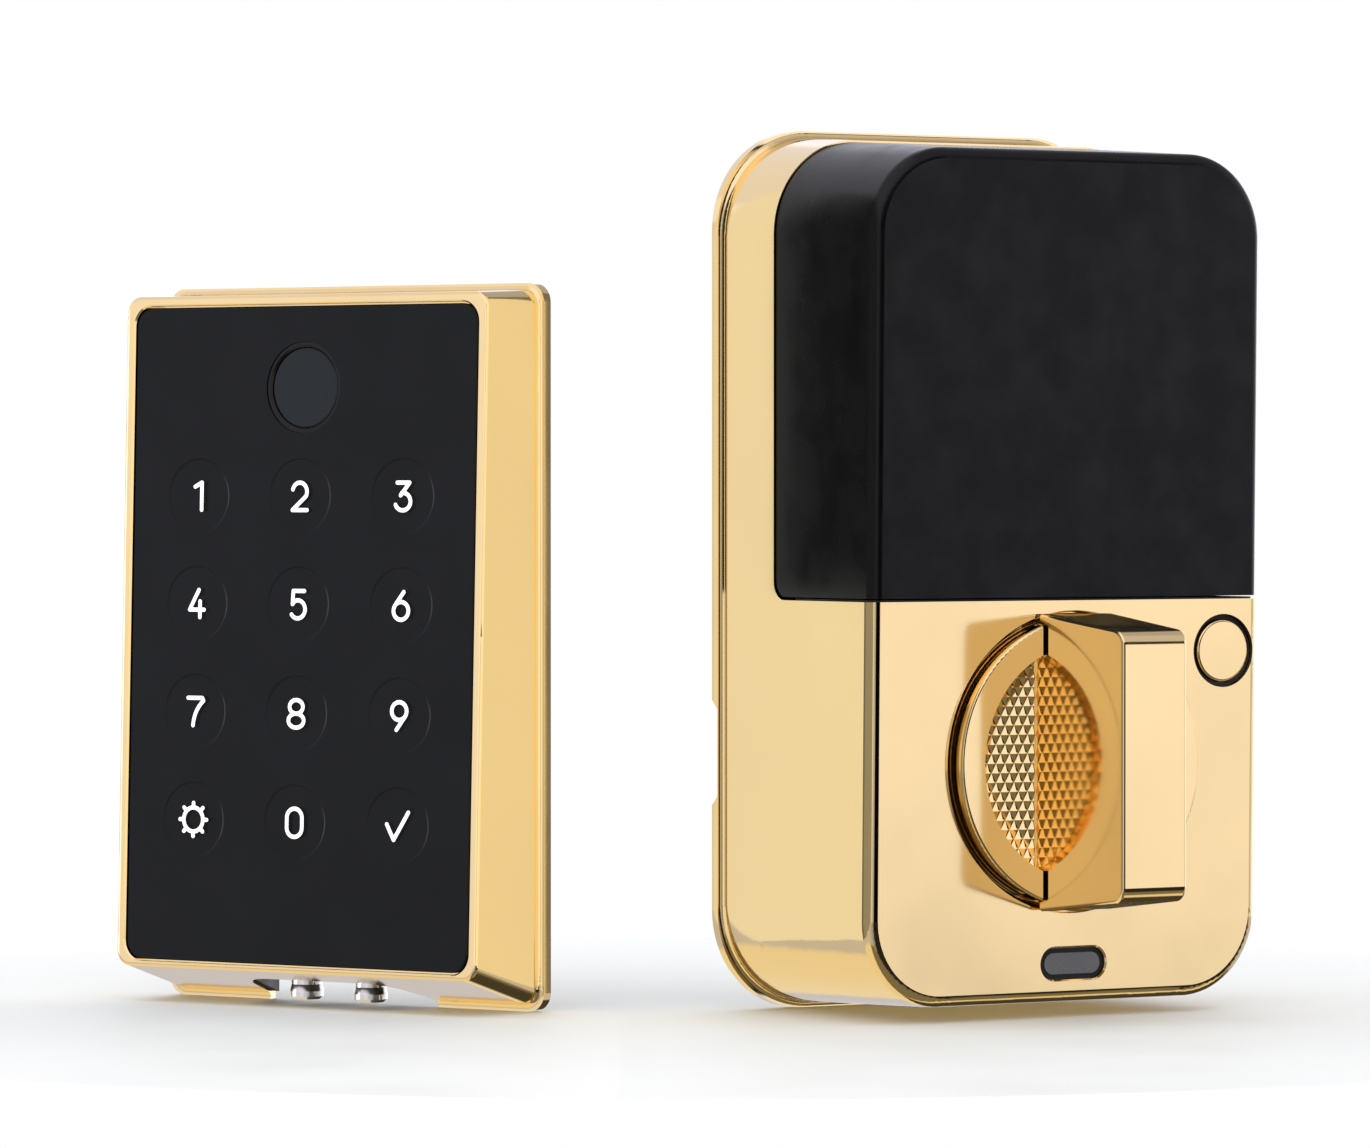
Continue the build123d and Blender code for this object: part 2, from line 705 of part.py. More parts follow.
def make_mounting_plate():
    plate = extrude(inside_outline(0, shell + plate_play), plate_thickness)
    plate -= rod(turn_x, turn_z, plate_hole_radius, -1, 4)
    for side in (-1, 1):
        plate -= rod(turn_x + side * door_bolt_pitch / 2, turn_z, plate_bolt_radius, -1, 4)
    return plate - slab((-13, 13), (83, 97), 4, -1, 4)


def make_plate_posts():
    posts = [rod(x, z, 4.0, plate_thickness, ledge_depth - shell) - rod(x, z, 2.0 + running_fit, 5, 20)
             for x, z in housing_screw_places]
    return group(*posts)


def make_housing_screws():
    return group(*[screw(x, z, 6.0, ledge_depth, 2.0, 3.6, 2.2) for x, z in housing_screw_places])


def make_tray_screw():
    return screw(0, tray_screw_z, ledge_depth - shell, ledge_depth + 2.4, 1.15, 2.4, 1.6)


def make_cover_catch():
    """A spring finger on the foot of the battery tray that presses on the inside of the cover."""
    foot = tray_low + 2.6
    outline = Polyline((36.9, foot - 0.2), (40.2, foot - 0.2), (40.9, foot + 0.9), (41.2, foot + 3.6),
                       (40.4, foot + 6.0))
    strip = trace(outline, 0.4)
    return extrude(Plane(origin=(-4, 0, 0), x_dir=(0, -1, 0), z_dir=(-1, 0, 0)) * strip, -8)


def inside_unit():
    parts = {
        "interior_housing": make_interior_housing(),
        "mounting_plate": make_mounting_plate(),
        "plate_posts": make_plate_posts(),
        "housing_screws": make_housing_screws(),
        "battery_cover": make_battery_cover(),
        "battery_tray": make_battery_tray(),
        "tray_screw": make_tray_screw(),
        "cover_catch": make_cover_catch(),
        "battery_springs": make_battery_springs(),
        "battery_contacts": make_battery_contacts(),
        "control_board": make_control_board(),
        "control_chips": make_control_chips(),
        "cable_socket": make_cable_socket(),
        "board_screws": make_board_screws(),
        "front_board": make_front_board(),
        "status_light": make_status_light(),
        "status_window": make_status_window(),
        "button_switch": make_button_switch(),
        "button_spring": make_button_spring(),
        "lock_button": make_lock_button(),
        "gearbox_frame": make_gearbox_frame(),
        "gearbox_cover": make_gearbox_cover(),
        "gearbox_screws": make_gearbox_screws(),
        "drive_motor": make_drive_motor(),
        "motor_pinion": make_motor_pinion(),
        "idler_gear": make_idler_gear(),
        "idler_pin": make_idler_pin(),
        "output_gear": make_output_gear(),
        "turn_spindle": make_turn_spindle(),
        "spindle_bushing": make_spindle_bushing(),
        "spindle_clip": make_spindle_clip(),
        "thrust_washer": make_thrust_washer(),
        "turn_disc": make_turn_disc(),
        "turn_lever": make_turn_lever(),
        "lever_screws": make_lever_screws(),
    }
    for index in range(battery_count):
        parts[f"battery_{index + 1}"] = make_battery(index)
    return parts


# ------------------------------------------------------------------ keypad unit


def keypad_front(back=0.0):
    return sloped(keypad_depth_low, keypad_depth_high, keypad_height, back)


def keypad_outline(depth, inset):
    """The keypad body's outline at a depth, behind which the rim stands out all round."""
    share = (depth - rim_depth) / (16.5 - rim_depth)
    half = keypad_width / 2 - rim_step - keypad_side_draft * share - inset
    low = rim_step + keypad_bottom_draft * share + inset
    high = keypad_height - rim_step - keypad_top_draft * share - inset
    corner = max(keypad_corner - 0.4 - inset, 0.8)
    return at_depth(depth) * Pos(0, (low + high) / 2) * RectangleRounded(2 * half, high - low, corner)


def keypad_block(d0, inset, front_back=0.0):
    whole = loft([keypad_outline(d0, inset), keypad_outline(21, inset)], ruled=True)
    return keep_behind(whole, keypad_front(front_back))


def terminal_arch(grow, z0, z1):
    """The arch in the bottom of the keypad unit, from behind its back edge forward."""
    half_back = arch_half + grow + arch_taper
    half_front = arch_half + grow - arch_taper * arch_reach
    outline = Polyline((-half_back, -1), (-half_front, arch_reach + grow), (half_front, arch_reach + grow),
                       (half_back, -1), close=True)
    face = make_face(outline)
    face = fillet(face.vertices().group_by(Axis.Y)[-1], arch_corner + grow)
    return extrude(Plane(origin=(0, 0, z0), x_dir=(1, 0, 0), z_dir=(0, 0, -1)) * face, z0 - z1)


def make_keypad_housing():
    middle = Pos(0, keypad_height / 2)
    outline = RectangleRounded(keypad_width, keypad_height, keypad_corner)
    body = keypad_block(rim_depth - 0.2, 0)
    body = fillet(body.faces().sort_by(Axis.Y)[0].outer_wire().edges(), 0.6)
    shape = fillet_rim(extrude(at_depth(0) * middle * outline, rim_depth) + body, rim_depth)
    shape -= keypad_block(-1, keypad_wall, 4.6)
    front = keypad_front()
    z_mid = panel_low + panel_height / 2
    seat = RectangleRounded(panel_width + 0.5, panel_height + 0.5, panel_corner + 0.25)
    shape = break_openings(shape - extrude(front * Pos(0, z_mid, -2.4) * seat, 6))
    opening = front * Pos(0, z_mid + 1.0, -6) * RectangleRounded(62.4, 96.0, 3)
    shape -= extrude(opening, 8)
    # an arched pocket in the bottom, closed off from the inside by its own walls
    shape += terminal_arch(arch_wall, -1, arch_roof + arch_wall) & keypad_block(0.4, 0)
    shape -= terminal_arch(0, -1, arch_roof)
    for x, z in back_screw_places:
        boss = rod(x, z, 2.6, 2.7, 8.0)
        shape += boss
        shape -= rod(x, z, 1.1 + running_fit, 2.0, 7.0)
    return shape


def make_touch_panel():
    z_mid = panel_low + panel_height / 2
    front = keypad_front(panel_sunk)
    face = front * Pos(0, z_mid) * RectangleRounded(panel_width, panel_height, panel_corner)
    panel = extrude(face, -panel_thickness)
    panel = chamfer(panel.faces().sort_by(Axis.Y)[0].outer_wire().edges(), 0.25)
    panel -= extrude(front * Pos(0, sensor_z, 1) * Circle(sensor_ring), -6)
    for x in key_columns:
        for z in key_rows:
            mouth = front * Pos(x, z) * Circle(key_radius)
            floor = front * Pos(x, z, -key_depth) * Circle(key_radius - key_wall)
            panel -= loft([mouth, floor])
    return panel


def make_panel_seal():
    z_mid = panel_low + panel_height / 2
    front = keypad_front(panel_sunk + panel_thickness)
    outer = front * Pos(0, z_mid) * RectangleRounded(66.8, 104.2, 2.8)
    inner = front * Pos(0, z_mid + 1.0) * RectangleRounded(63.0, 96.6, 3)
    return extrude(outer - inner, -(2.4 - panel_sunk - panel_thickness))


def make_fingerprint_sensor():
    front = keypad_front(0.75)
    disc = extrude(front * Pos(0, sensor_z) * Circle(sensor_radius), -1.3)
    return fillet(disc.faces().sort_by(Axis.Y)[0].edges(), 0.25)


def make_sensor_bezel():
    front = keypad_front(0.35)
    flat = Circle(sensor_ring - running_fit) - Circle(sensor_radius + running_fit)
    bezel = extrude(front * Pos(0, sensor_z) * flat, -1.9)
    return chamfer(bezel.faces().sort_by(Axis.Y)[0].inner_wires()[0].edges(), 0.3)


def make_sensor_module():
    return extrude(keypad_front(2.4) * Pos(0, sensor_z) * Circle(6.8), -2.2)


def make_legend_light_guide():
    face = keypad_front(guide_front) * Pos(0, 54.5) * RectangleRounded(60, 70, 2)
    return extrude(face, -guide_thickness)


def make_keypad_board():
    front = keypad_front(guide_front + guide_thickness + 0.3)
    return extrude(front * Pos(0, 59.5) * RectangleRounded(60.0, 92, 2), -1.4)


def make_keypad_chips():
    front = keypad_front(guide_front + guide_thickness + 1.7)
    sizes = [(-14, 78, 8, 8, 1.2), (12, 66, 12, 10, 1.4), (-10, 48, 6, 6, 1.2)]
    return group(*[extrude(front * Pos(x, z) * Rectangle(w, h), -t) for x, z, w, h, t in sizes])


def make_buzzer():
    front = keypad_front(guide_front + guide_thickness + 1.7)
    can = extrude(front * Pos(16, 90) * Circle(5.5), -2.8)
    return can - extrude(front * Pos(16, 90, -2.0) * Circle(0.8), -2)


def make_keypad_connector():
    """The header for the cable that runs through the door, facing the hole in the back plate."""
    front = keypad_front(guide_front + guide_thickness + 1.7)
    body = extrude(front * Pos(0, connector_z) * RectangleRounded(14, 7, 0.6), -5.0)
    body -= extrude(front * Pos(0, connector_z, -1.2) * Rectangle(11.8, 4.8), -5.0)
    for index in range(5):
        body += extrude(front * Pos(index * 2.2 - 4.4, connector_z, -1.0) * Rectangle(0.6, 0.6), -2.8)
    return body


def make_keypad_back_plate():
    half = keypad_width / 2 - rim_step - keypad_wall - 0.25
    low, high = rim_step + keypad_wall + 0.35, keypad_height - rim_step - keypad_wall - 0.3
    plate = slab((-half, half), (low, high), 1.2, 0.8, back_plate_depth)
    plate -= terminal_arch(arch_wall + 0.25, -1, arch_roof + arch_wall + 0.3)
    plate -= slab((-10, 10), (connector_z - 6.5, connector_z + 6.5), 3, 0, 4)
    for side in (-1, 1):
        plate -= rod(side * door_bolt_pitch / 2, post_z, 3.4, 0, 4)
    for x, z in back_screw_places:
        plate -= rod(x, z, 1.3, 0, 4)
        plate -= cone(x, z, 2.3, 1.3, 0.8, 1.7)
    return plate


def make_mounting_posts():
    """Two threaded posts that take the screws that run through the door."""
    posts = []
    for side in (-1, 1):
        x = side * door_bolt_pitch / 2
        post = rod(x, post_z, 3.4, 0.0, back_plate_depth) + rod(x, post_z, 5.2, back_plate_depth, 5.4)
        posts.append(post - rod(x, post_z, 2.0, -1, 5.0))
    return group(*posts)


def make_back_plate_screws():
    return group(*[rod(x, z, 1.1, 1.6, 6.5) + cone(x, z, 2.2, 1.1, 0.85, 1.7)
                   for x, z in back_screw_places])


def make_rear_gasket():
    """A soft gasket that seals the unit to the door, around the inside of the rim."""
    outer = at_depth(0) * Pos(0, 60) * RectangleRounded(68, 104, 2)
    inner = at_depth(0) * Pos(0, 60) * RectangleRounded(62, 98, 2)
    gasket = extrude(outer - inner, 0.8)
    return gasket - terminal_arch(arch_wall + 0.25, -1, arch_roof + arch_wall + 0.3)


def make_terminal_holder():
    """The insulating insert that lines the bottom pocket and holds both emergency contacts."""
    holder = terminal_arch(-0.1, -1, arch_roof - 0.05) & keypad_block(0.5, 0.6)
    holder -= terminal_arch(-1.0, -1, holder_roof)
    for side in (-1, 1):
        centre = Pos(side * terminal_pitch / 2, -terminal_depth, 5.0)
        holder -= centre * Cylinder(terminal_radius - 0.9, 8)
    return holder


def make_terminal(side):
    """A round snap stud for a nine volt battery, with a waist above its rounded rim."""
    r = terminal_radius
    profile = Polyline((0, terminal_low), (r - 0.5, terminal_low), (r, terminal_low + 0.5),
                       (r, terminal_low + 1.3), (r - 0.25, 3.1), (r - 0.25, holder_roof),
                       (r - 0.9, holder_roof), (r - 0.9, 6.6), (0, 6.6), close=True)
    stud = revolve(Plane.XZ * make_face(profile), Axis.Z)
    return Pos(side * terminal_pitch / 2, -terminal_depth, 0) * stud


def keypad_unit():
    return {
        "keypad_housing": make_keypad_housing(),
        "touch_panel": make_touch_panel(),
        "panel_seal": make_panel_seal(),
        "fingerprint_sensor": make_fingerprint_sensor(),
        "sensor_bezel": make_sensor_bezel(),
        "sensor_module": make_sensor_module(),
        "legend_light_guide": make_legend_light_guide(),
        "keypad_board": make_keypad_board(),
        "keypad_chips": make_keypad_chips(),
        "buzzer": make_buzzer(),
        "keypad_connector": make_keypad_connector(),
        "keypad_back_plate": make_keypad_back_plate(),
        "mounting_posts": make_mounting_posts(),
        "back_plate_screws": make_back_plate_screws(),
        "rear_gasket": make_rear_gasket(),
        "terminal_holder": make_terminal_holder(),
        "backup_terminal_left": make_terminal(-1),
        "backup_terminal_right": make_terminal(1),
    }


# ------------------------------------------------------------------ both units in one frame

inside_parts = inside_unit()
stand = Pos(keypad_place[0], keypad_place[1], 0) * Rot(0, 0, keypad_turn)
keypad_parts = {name: stand * shape for name, shape in keypad_unit().items()}
everything = {**inside_parts, **keypad_parts}

# the origin is under the middle of the two units' common box
box = Compound(children=[solid for shape in everything.values() for solid in shape.solids()]).bounding_box()
shift = Pos(-(box.min.X + box.max.X) / 2, -(box.min.Y + box.max.Y) / 2, -box.min.Z)

for name, shape in everything.items():
    export_step(shift * shape, f"parts/{name}.step")
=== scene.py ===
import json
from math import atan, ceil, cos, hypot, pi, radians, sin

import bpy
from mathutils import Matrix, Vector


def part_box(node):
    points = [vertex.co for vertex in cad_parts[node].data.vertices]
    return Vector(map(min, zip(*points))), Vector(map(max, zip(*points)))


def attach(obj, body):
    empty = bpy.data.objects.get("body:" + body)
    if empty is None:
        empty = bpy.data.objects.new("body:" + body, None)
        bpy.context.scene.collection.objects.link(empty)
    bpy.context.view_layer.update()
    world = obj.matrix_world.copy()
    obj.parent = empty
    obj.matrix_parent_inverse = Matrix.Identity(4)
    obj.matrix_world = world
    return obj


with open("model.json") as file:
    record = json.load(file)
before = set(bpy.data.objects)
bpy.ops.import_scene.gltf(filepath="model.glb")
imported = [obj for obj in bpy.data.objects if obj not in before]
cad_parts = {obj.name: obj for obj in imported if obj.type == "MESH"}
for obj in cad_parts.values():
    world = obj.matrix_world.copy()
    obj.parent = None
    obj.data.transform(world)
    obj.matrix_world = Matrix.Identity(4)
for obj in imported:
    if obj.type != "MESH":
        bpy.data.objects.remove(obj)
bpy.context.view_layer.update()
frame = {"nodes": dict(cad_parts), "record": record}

# Looks for a keypad smart lock: a keypad unit for the outside of a door and a unit with a thumb turn for
# the inside. The CAD parts keep their shapes. This script paints them, adds the raised legends on the keys,
# the knurled floor of the thumb turn's finger pocket and thin dark bands of painted shade in the gaps, and
# sets up a plain studio.

MM = 0.001


# ------------------------------------------------------------------ places

inside_low, inside_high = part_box("interior_housing")
inside_origin = Vector(((inside_low.x + inside_high.x) / 2, inside_high.y, 0))  # under the unit's back

KEYPAD_TURN = radians(-66)
KEYPAD_DEPTH_LOW = 18.4 * MM  # depth of the sloping front at the floor
KEYPAD_DEPTH_HIGH = 15.0 * MM  # and at the top
POST_LENGTH = 5.4 * MM
keypad_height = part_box("keypad_housing")[1].z
posts_low, posts_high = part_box("mounting_posts")
posts_middle = (posts_low + posts_high) / 2
keypad_turned = Matrix.Rotation(KEYPAD_TURN, 3, "Z")
keypad_origin = posts_middle - keypad_turned @ Vector((0, -POST_LENGTH / 2, posts_middle.z))
keypad_slope = atan((KEYPAD_DEPTH_LOW - KEYPAD_DEPTH_HIGH) / keypad_height)


def on_keypad(sunk):
    """A frame on the keypad unit's sloping front: X to the right, Y up the front and Z out of it."""
    turn = keypad_turned.to_4x4()
    lean = Matrix.Rotation(pi / 2 - keypad_slope, 4, "X")
    foot = keypad_origin + keypad_turned @ Vector((0, -KEYPAD_DEPTH_LOW, 0))
    return Matrix.Translation(foot) @ turn @ lean @ Matrix.Translation((0, 0, -sunk))


# ------------------------------------------------------------------ meshes cut from a field


def cut_sheet(name, points, triangles, field, height, bottom, place):
    """A closed solid over the part of a triangle net where field is positive.

    Its top lies at height(x, y) on the points and is flat between them, and its underside is flat."""
    shares = [field(x, y) for x, y in points]
    verts = []
    made = {}

    def vertex(key, x, y, z):
        if key not in made:
            made[key] = len(verts)
            verts.append((x, y, z))
        return made[key]

    def corner(i):
        x, y = points[i]
        return vertex(i, x, y, height(x, y))

    def crossing(i, j):
        i, j = min(i, j), max(i, j)
        t = shares[i] / (shares[i] - shares[j])
        ends = [(*points[k], height(*points[k])) for k in (i, j)]
        return vertex((i, j), *[a + t * (b - a) for a, b in zip(*ends)])

    tops = []
    for triangle in triangles:
        loop = []
        for i, j in zip(triangle, triangle[1:] + triangle[:1]):
            if shares[i] > 0:
                loop.append(corner(i))
            if (shares[i] > 0) != (shares[j] > 0):
                loop.append(crossing(i, j))
        if len(loop) > 2:
            tops.append(loop)

    count = len(verts)
    verts += [(x, y, bottom) for x, y, z in verts]
    faces = tops + [[i + count for i in reversed(loop)] for loop in tops]
    edges = {(a, b) for loop in tops for a, b in zip(loop, loop[1:] + loop[:1])}
    faces += [[b, a, a + count, b + count] for a, b in edges if (b, a) not in edges]
    mesh = bpy.data.meshes.new(name)
    mesh.from_pydata(verts, [], faces)
    mesh.transform(place)
    mesh.validate()
    piece = bpy.data.objects.new(name, mesh)
    bpy.context.collection.objects.link(piece)
    return piece


def net(origin, step_a, step_b, count_a, count_b, crossed=False):
    """Points and triangles of a net whose cells are parallelograms, each split in two.

    Crossed, the splits of neighbouring cells meet, so that a four-sided point keeps its four edges."""
    points = [(origin[0] + a * step_a[0] + b * step_b[0], origin[1] + a * step_a[1] + b * step_b[1])
              for b in range(count_b + 1) for a in range(count_a + 1)]
    triangles = []
    for b in range(count_b):
        for a in range(count_a):
            i = b * (count_a + 1) + a
            j = i + count_a + 1
            if crossed and (a + b) % 2 == 0:
                triangles += [[i, i + 1, j + 1], [i, j + 1, j]]
            else:
                triangles += [[i, i + 1, j], [i + 1, j + 1, j]]
    return points, triangles


# ------------------------------------------------------------------ legends on the keys

KEY_COLUMNS = [-20.5 * MM, -0.3 * MM, 19.9 * MM]
KEY_ROWS = [81.4 * MM, 64.2 * MM, 46.9 * MM, 29.6 * MM]
PANEL_SUNK = 0.15 * MM
KEY_DEPTH = 0.08 * MM
LEGEND_PROUD = 0.03 * MM  # above the floor of the key's recess
STROKE = 0.66 * MM
TOP = 2.18  # half the height of a digit's middle line, in millimetres
GEAR_TEETH = 8
GEAR_RADII = (1.93, 2.25, 2.66)  # the ring's middle line, and both ends of each tooth's, in millimetres
ARC_STEPS = 28
LEGEND_CELL = 0.11 * MM
LEGEND_REACH = 3.3 * MM  # half the width of the square that a legend is cut from
LEGEND_FOOT = -0.02 * MM


def arc(x, y, rx, ry, start, end):
    """Points on an ellipse, from one angle in degrees to another."""
    angles = [radians(start + (end - start) * i / ARC_STEPS) for i in range(ARC_STEPS + 1)]
    return [(x + rx * cos(a), y + ry * sin(a)) for a in angles]


def half_turned(lines):
    """The same strokes upside down, as a nine is a six."""
    return [[(-x, -y) for x, y in line] for line in lines]


def gear_lines():
    """A ring with short teeth."""
    ring, *tooth_ends = GEAR_RADII
    teeth = []
    for tooth in range(GEAR_TEETH):
        a = tooth * 2 * pi / GEAR_TEETH
        teeth.append([(end * cos(a), end * sin(a)) for end in tooth_ends])
    return [arc(0, 0, ring, ring, 0, 360)] + teeth


# middle lines of the strokes, in millimetres about the middle of the key
SIX = [[(0.5, TOP), (-1.18, 0.05)], arc(0, -0.78, 1.45, 1.4, 0, 360)]
GLYPHS = {
    "1": [[(-0.75, 1.52), (0.6, TOP), (0.6, -TOP)]],
    "2": [arc(-0.02, 0.72, 1.42, 1.46, 165, -28) + [(-1.42, -TOP), (1.45, -TOP)]],
    "3": [[(-1.1, TOP), (1.28, TOP), (-0.42, 0.18)] + arc(0, -0.8, 1.5, 1.38, 98, -158)],
    "4": [[(0.35, TOP), (-1.45, -0.98), (1.45, -0.98)], [(0.62, 0.35), (0.62, -TOP)]],
    "5": [[(1.22, TOP), (-0.95, TOP), (-1.08, 0.1)] + arc(-0.05, -0.74, 1.46, 1.44, 112, -145)],
    "6": SIX,
    "7": [[(-1.45, TOP), (1.4, TOP)] + arc(4.9, -2.6, 5.3, 5.5, 128, 176)],
    "8": [arc(0, 1.09, 1.32, 1.09, 0, 360), arc(0, -1.09, 1.52, 1.12, 0, 360)],
    "9": half_turned(SIX),
    "gear": gear_lines(),
    "0": [arc(0, 0.78, 1.5, 1.46, 180, 0) + arc(0, -0.78, 1.5, 1.46, 0, -180) + [(-1.5, 0.78)]],
    "tick": [[(-2.05, 0.25), (-0.68, -TOP), (2.1, TOP)]],
}
KEYS = [["1", "2", "3"], ["4", "5", "6"], ["7", "8", "9"], ["gear", "0", "tick"]]


def line_distance(x, y, a, b):
    """How far a point is from the straight line between two others."""
    dx, dy = b[0] - a[0], b[1] - a[1]
    share = ((x - a[0]) * dx + (y - a[1]) * dy) / (dx * dx + dy * dy)
    share = min(1.0, max(0.0, share))
    return hypot(x - a[0] - share * dx, y - a[1] - share * dy)


def make_legend(glyph, x, y):
    """A flat raised legend, with its middle at x, y on the keypad's front."""
    lines = [[(px * MM, py * MM) for px, py in line] for line in GLYPHS[glyph]]
    pieces = [(a, b) for line in lines for a, b in zip(line, line[1:]) if a != b]
    cells = ceil(2 * LEGEND_REACH / LEGEND_CELL)
    origin = (-LEGEND_REACH, -LEGEND_REACH)
    points, triangles = net(origin, (LEGEND_CELL, 0), (0, LEGEND_CELL), cells, cells)

    def field(px, py):
        return STROKE / 2 - min(line_distance(px, py, a, b) for a, b in pieces)

    def height(px, py):
        return LEGEND_PROUD

    place = on_keypad(PANEL_SUNK + KEY_DEPTH) @ Matrix.Translation((x, y, 0))
    legend = cut_sheet("legend_" + glyph, points, triangles, field, height, LEGEND_FOOT, place)
    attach(legend, "root")
    return legend


# ------------------------------------------------------------------ knurled floor of the finger pocket

disc_low, disc_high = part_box("turn_disc")
lever_low, lever_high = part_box("turn_lever")
TURN_AXIS = ((disc_low.x + disc_high.x) / 2, (disc_low.z + disc_high.z) / 2)
POCKET_RADIUS = 18.3 * MM
POCKET_DEPTH = 2.6 * MM
SLOT_GAP = 0.4 * MM
KNURL_CLEAR = 0.05 * MM
KNURL_WIDTH = 1.70 * MM  # from point to point across, and up
KNURL_HEIGHT = 2.95 * MM
KNURL_RISE = 0.62 * MM
KNURL_FOOT = -0.05 * MM
KNURL_STEPS = 4  # net cells from one point to the next


def knurl_height(x, y):
    """Four-sided points in a diamond net: high at its crossings, low half-way between them."""
    a = x / KNURL_WIDTH + y / KNURL_HEIGHT
    b = x / KNURL_WIDTH - y / KNURL_HEIGHT
    return KNURL_RISE * (1 - 2 * max(abs(a - round(a)), abs(b - round(b))))


def make_knurl(name, side):
    """One half of the pocket's floor, beside the lever, cut as a net of sharp pyramids."""
    half_slot = (lever_high.x - lever_low.x) / 2 + SLOT_GAP
    step_a = (KNURL_WIDTH / KNURL_STEPS, KNURL_HEIGHT / KNURL_STEPS)
    step_b = (KNURL_WIDTH / KNURL_STEPS, -KNURL_HEIGHT / KNURL_STEPS)
    count = KNURL_STEPS * ceil(POCKET_RADIUS / KNURL_WIDTH + POCKET_RADIUS / KNURL_HEIGHT + 1)
    origin = (-count * KNURL_WIDTH / KNURL_STEPS, 0)
    points, triangles = net(origin, step_a, step_b, count, count, crossed=True)

    def field(x, y):
        return min(POCKET_RADIUS - KNURL_CLEAR - hypot(x, y), side * x - half_slot)

    floor = disc_low.y + POCKET_DEPTH
    place = Matrix.Translation((TURN_AXIS[0], floor, TURN_AXIS[1])) @ Matrix.Rotation(pi / 2, 4, "X")
    turned = [triangle[::-1] for triangle in triangles]
    knurl = cut_sheet(name, points, turned, field, knurl_height, KNURL_FOOT, place)
    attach(knurl, "thumb_turn")
    return knurl


# ------------------------------------------------------------------ dark bands of painted shade in the gaps

FRONT_DEPTH_LOW = 42.9 * MM  # depth of the inside unit's sloping front at the floor
FRONT_DEPTH_HIGH = 44.8 * MM  # and at its top
BUTTON_PLACE = (29.9 * MM, 57.0 * MM)
WINDOW_PLACE = (1.5 * MM, 8.5 * MM)
WINDOW_SUNK = 0.7 * MM
SEAM_HEIGHT = 65.2 * MM
RIM_STEPS = 24  # spaces between points on each rounded corner
# each band of painted shade between its inner and outer outline, and between two heights over the front
TURN_SHADE_RADII = (22.95 * MM, 23.2 * MM)
TURN_SHADE_HEIGHTS = (-1.9 * MM, -1.65 * MM)
BUTTON_SHADE_RADII = (5.05 * MM, 5.7 * MM)
BUTTON_SHADE_HEIGHTS = (-1.28 * MM, -0.75 * MM)
WINDOW_SHADE_INNER = (5.3 * MM, 1.7 * MM, 1.69 * MM)  # half width, half height and corner
WINDOW_SHADE_OUTER = (5.95 * MM, 2.35 * MM, 2.34 * MM)
WINDOW_SHADE_HEIGHTS = (0.01 * MM - WINDOW_SUNK, 0.09 * MM - WINDOW_SUNK)
SEAM_HALF_WIDTH = 36.4 * MM
SEAM_BACK = 20.5 * MM  # distance of its back edge from the door
SEAM_SETBACK = 0.6 * MM  # of its front edge from the unit's front
SEAM_BAND = 1.8 * MM
SEAM_CORNERS = (0.5 * MM, 1.5 * MM)
SEAM_SHADE_HEIGHTS = (0.01 * MM, 0.28 * MM)  # over the seam


def front_depth(height):
    """How far the inside unit's front stands from the door at some height."""
    return FRONT_DEPTH_LOW + (FRONT_DEPTH_HIGH - FRONT_DEPTH_LOW) * height / inside_high.z


def rounded(half_x, half_y, corner):
    """A rectangle with rounded corners, as points in turn about its middle."""
    points = []
    for quarter, (sx, sy) in enumerate(((1, 1), (-1, 1), (-1, -1), (1, -1))):
        for step in range(RIM_STEPS + 1):
            a = (quarter + step / RIM_STEPS) * pi / 2
            x = sx * (half_x - corner) + corner * cos(a)
            y = sy * (half_y - corner) + corner * sin(a)
            points.append((x, y))
    return points


def circle(radius):
    return rounded(radius, radius, radius)


def make_collar(name, inner, outer, heights, place):
    """A flat band between two outlines with as many points, between two heights along its own Z."""
    low, high = heights
    count = len(outer)
    levels = ((outer, high), (inner, high), (inner, low), (outer, low))
    verts = [(x, y, z) for outline, z in levels for x, y in outline]
    faces = []
    for level in range(4):
        near, far = level * count, (level + 1) % 4 * count
        for i in range(count):
            j = (i + 1) % count
            faces.append([near + i, near + j, far + j, far + i])
    mesh = bpy.data.meshes.new(name)
    mesh.from_pydata(verts, [], faces)
    mesh.transform(place)
    collar = bpy.data.objects.new(name, mesh)
    bpy.context.collection.objects.link(collar)
    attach(collar, "root")
    return collar


def on_front(x, height):
    """A frame on the inside unit's front: X to the right, Y up and Z out of it."""
    spot = Vector((inside_origin.x + x, inside_origin.y - front_depth(height), height))
    return Matrix.Translation(spot) @ Matrix.Rotation(pi / 2, 4, "X")


def make_gap_shades():
    """Black bands of painted shade deep in the gaps round the disc and the button, round the lens and in the
    seam.
    """
    turn = on_front(TURN_AXIS[0] - inside_origin.x, TURN_AXIS[1])
    gap_shades = [
        make_collar("turn_gap_painted_shade", *map(circle, TURN_SHADE_RADII), TURN_SHADE_HEIGHTS, turn),
        make_collar("button_gap_painted_shade", *map(circle, BUTTON_SHADE_RADII), BUTTON_SHADE_HEIGHTS,
                    on_front(*BUTTON_PLACE)),
        make_collar("window_gap_painted_shade", rounded(*WINDOW_SHADE_INNER), rounded(*WINDOW_SHADE_OUTER), WINDOW_SHADE_HEIGHTS,
                    on_front(*WINDOW_PLACE)),
    ]
    seam_front = front_depth(SEAM_HEIGHT) - SEAM_SETBACK
    half_depth = (seam_front - SEAM_BACK) / 2
    middle = Matrix.Translation(inside_origin + Vector((0, -(seam_front + SEAM_BACK) / 2, SEAM_HEIGHT)))
    inner = rounded(SEAM_HALF_WIDTH - SEAM_BAND, half_depth - SEAM_BAND, SEAM_CORNERS[0])
    outer = rounded(SEAM_HALF_WIDTH, half_depth, SEAM_CORNERS[1])
    gap_shades.append(make_collar("seam_painted_shade", inner, outer, SEAM_SHADE_HEIGHTS, middle))
    return gap_shades


# ------------------------------------------------------------------ materials


